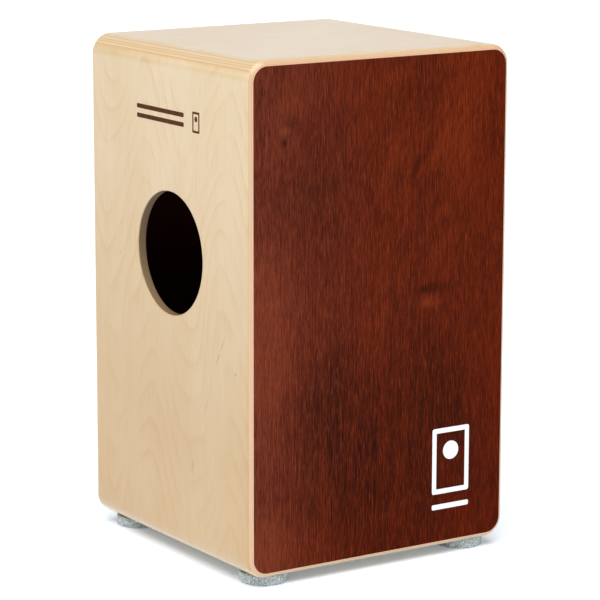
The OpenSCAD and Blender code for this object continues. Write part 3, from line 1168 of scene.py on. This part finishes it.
def loop_shape(draw, tall):
    """A loop's direction, and its arc as (out, rise)."""
    way = draw.uniform(0, 2 * math.pi)
    width = PAD_PITCH * draw.uniform(*LOOP_WIDTHS)
    height = tall * draw.uniform(*LOOP_HEIGHTS)
    turns = [math.pi * i / LOOP_STEPS for i in range(LOOP_STEPS + 1)]
    return way, [(math.cos(t) * width, math.sin(t) * height) for t in turns]


def hook_shape(draw, tall):
    """A hook's direction, and its stem and bend as (out, rise)."""
    way = math.pi / 2 + draw.uniform(-HOOK_TWIST, HOOK_TWIST)
    bend = tall * HOOK_BEND
    turns = [math.radians(45 * i) for i in range(1, 5)]
    arc = [(bend - bend * math.cos(t), tall - bend + bend * math.sin(t)) for t in turns]
    return way, [(0, 0), (0, tall - bend)] + arc


def make_pad(node, body, faces, material, shape, wire_radius):
    """A hook or loop pad: a tape backing full of small nylon hooks or loops."""
    draw = random.Random(node)
    low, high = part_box(node)
    thickness = high.y - low.y
    root = low.y if faces > 0 else high.y
    skin = root + faces * thickness * PAD_BACKING
    middle = (low + high) / 2
    half = (high - low) / 2
    backing = rounded_rectangle((middle.x, middle.z), (half.x, half.z), PAD_CORNER)
    bm = raised([(backing, None)], min(root, skin), max(root, skin), on_front)
    tall = thickness * PAD_PILE
    rows = int((high.z - low.z) / PAD_PITCH) - 1
    columns = int((high.x - low.x) / PAD_PITCH) - 1
    for row in range(rows):
        for column in range(columns):
            x = low.x + (column + 1 + draw.uniform(-PAD_STRAY, PAD_STRAY)) * PAD_PITCH
            z = low.z + (row + 1 + draw.uniform(-PAD_STRAY, PAD_STRAY)) * PAD_PITCH
            way, arc = shape(draw, tall)
            points = []
            for out, rise in arc:
                y = skin + faces * (rise - PAD_ROOT)
                points.append(Vector((x + out * math.cos(way), y, z + out * math.sin(way))))
            wire(bm, points, wire_radius)
    piece = new_piece(node + "_tape", bm, material, body, FINE_SMOOTH_ANGLE)
    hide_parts(node)


def make_inside():
    """Battens, snare blocks and the pull-out snare unit."""
    softwood = planed_wood("batten_pine", Y, SOFTWOOD, 3.2, fleck=0.2, roughness=0.6, inside_shade=0.93)
    for level in ("top", "bottom"):
        for side in ("left", "right"):
            dress(f"corner_batten_{level}_{side}", softwood, BATTEN_EASE)

    block_beech = planed_wood("beech_block", Z, BEECH, 2.4, fleck=0.55, roughness=0.5)
    bar_beech = planed_wood("beech_bar", X, BEECH, 2.4, fleck=0.55, roughness=0.45)
    tape = nylon()
    dress("snare_bar", bar_beech, BEECH_EASE)
    plate_steel = plated_steel("end_plate_steel", X, roughness=0.28)
    screw_steel = plated_steel("screw_steel", Z, roughness=0.24)
    coil_steel = plated_steel("coil_steel", Z, roughness=0.2)
    solder = plated_steel("solder_tin", Y, roughness=0.38)
    dress("snare_screws", screw_steel, STEEL_EASE)
    for side in ("left", "right"):
        dress(f"snare_block_{side}", block_beech, BEECH_EASE)
        dress(f"snare_end_plate_{side}", plate_steel, STEEL_EASE)
        make_pad(f"hook_pad_{side}", "body", 1, tape, hook_shape, HOOK_WIRE)
        make_pad(f"loop_pad_{side}", "snare_unit", -1, tape, loop_shape, LOOP_WIRE)
        make_coils(side, coil_steel, solder)


# ---------- stage

WORLD_STRENGTH = 0.30
SUN_STRENGTH = 3.5
SUN_SPREAD = 60
SUN_FROM = (-0.50, -0.55, 2.0)

# Name, place, size and power
SOFTBOXES = (
    ("softbox_left", (-1.35, -0.45, 1.35), (1.0, 1.0), 3),
    ("softbox_behind", (1.6, 2.4, 1.05), (2.0, 1.2), 4.5),
    ("softbox_left_back", (-1.9, 1.9, 1.3), (1.4, 1.0), 3),
)
FLOOR_SIZE = 30
FLOOR_LOOKS = {
    "Base Color": (0.90, 0.94, 1.0, 1),
    "Roughness": 0.9,
    "Specular IOR Level": 0.1,
    "Emission Color": (0.64, 0.81, 1.0, 1),
    "Emission Strength": 0.17,
}

# Camera: place and reach in metres, angles in degrees, lens and sensor in millimetres
CAMERA_PLACE = (-1.50139, -2.28953, 0.7936)
CAMERA_AZIMUTH = -33.3075
CAMERA_ELEVATION = 11.4445
CAMERA_ROLL = 0.1271
CAMERA_LENS = 168.6
CAMERA_SENSOR = 36
CAMERA_REACH = (0.1, 100)


def add_light(name, lamp, place, aim):
    """Puts a lamp in its place, turned towards what it lights."""
    light = in_scene(name, lamp)
    light.location = place
    light.visible_camera = False
    light.rotation_mode = "QUATERNION"
    light.rotation_quaternion = (aim - Vector(place)).to_track_quat("-Z", "Y")


def make_stage():
    """A plain white floor and soft studio light."""
    bm = bmesh.new()
    bmesh.ops.create_grid(bm, x_segments=1, y_segments=1, size=FLOOR_SIZE)
    floor = in_scene("floor", to_mesh("floor", bm))
    paint = bpy.data.materials.new("floor_white")
    paint.use_nodes = True
    shader = paint.node_tree.nodes["Principled BSDF"]
    for name, value in FLOOR_LOOKS.items():
        shader.inputs[name].default_value = value
    floor.data.materials.append(paint)

    world = bpy.data.worlds.new("studio")
    world.use_nodes = True
    sky = world.node_tree.nodes["Background"]
    sky.inputs["Color"].default_value = (1, 1, 1, 1)
    sky.inputs["Strength"].default_value = WORLD_STRENGTH
    bpy.context.scene.world = world

    sun = bpy.data.lights.new("key_sun", "SUN")
    sun.energy = SUN_STRENGTH
    sun.angle = math.radians(SUN_SPREAD)
    add_light("key_sun", sun, SUN_FROM, Vector((0, 0, 0)))

    aim = (BOX_LOW + BOX_HIGH) / 2
    for name, place, size, power in SOFTBOXES:
        lamp = bpy.data.lights.new(name, "AREA")
        lamp.shape = "RECTANGLE"
        lamp.size, lamp.size_y = size
        lamp.energy = power
        add_light(name, lamp, place, aim)


def make_camera():
    """The camera looks down at the left front corner through a long lens."""
    azimuth, elevation = math.radians(CAMERA_AZIMUTH), math.radians(CAMERA_ELEVATION)
    level = math.cos(elevation)
    back = Vector((math.sin(azimuth) * level, -math.cos(azimuth) * level, math.sin(elevation)))
    right = (-back).cross(Vector((0, 0, 1))).normalized()
    up = right.cross(-back)
    turn = Matrix((right, up, back)).transposed() @ Matrix.Rotation(math.radians(CAMERA_ROLL), 3, "Z")
    lens = bpy.data.cameras.new("camera")
    lens.lens = CAMERA_LENS
    lens.sensor_width = CAMERA_SENSOR
    lens.clip_start, lens.clip_end = CAMERA_REACH
    camera = in_scene("camera", lens)
    camera.matrix_world = Matrix.Translation(CAMERA_PLACE) @ turn.to_4x4()
    bpy.context.scene.camera = camera


make_camera()
make_stage()
make_box()
make_marks()
make_feet()
make_inside()
bpy.context.scene.view_settings.view_transform = "Standard"
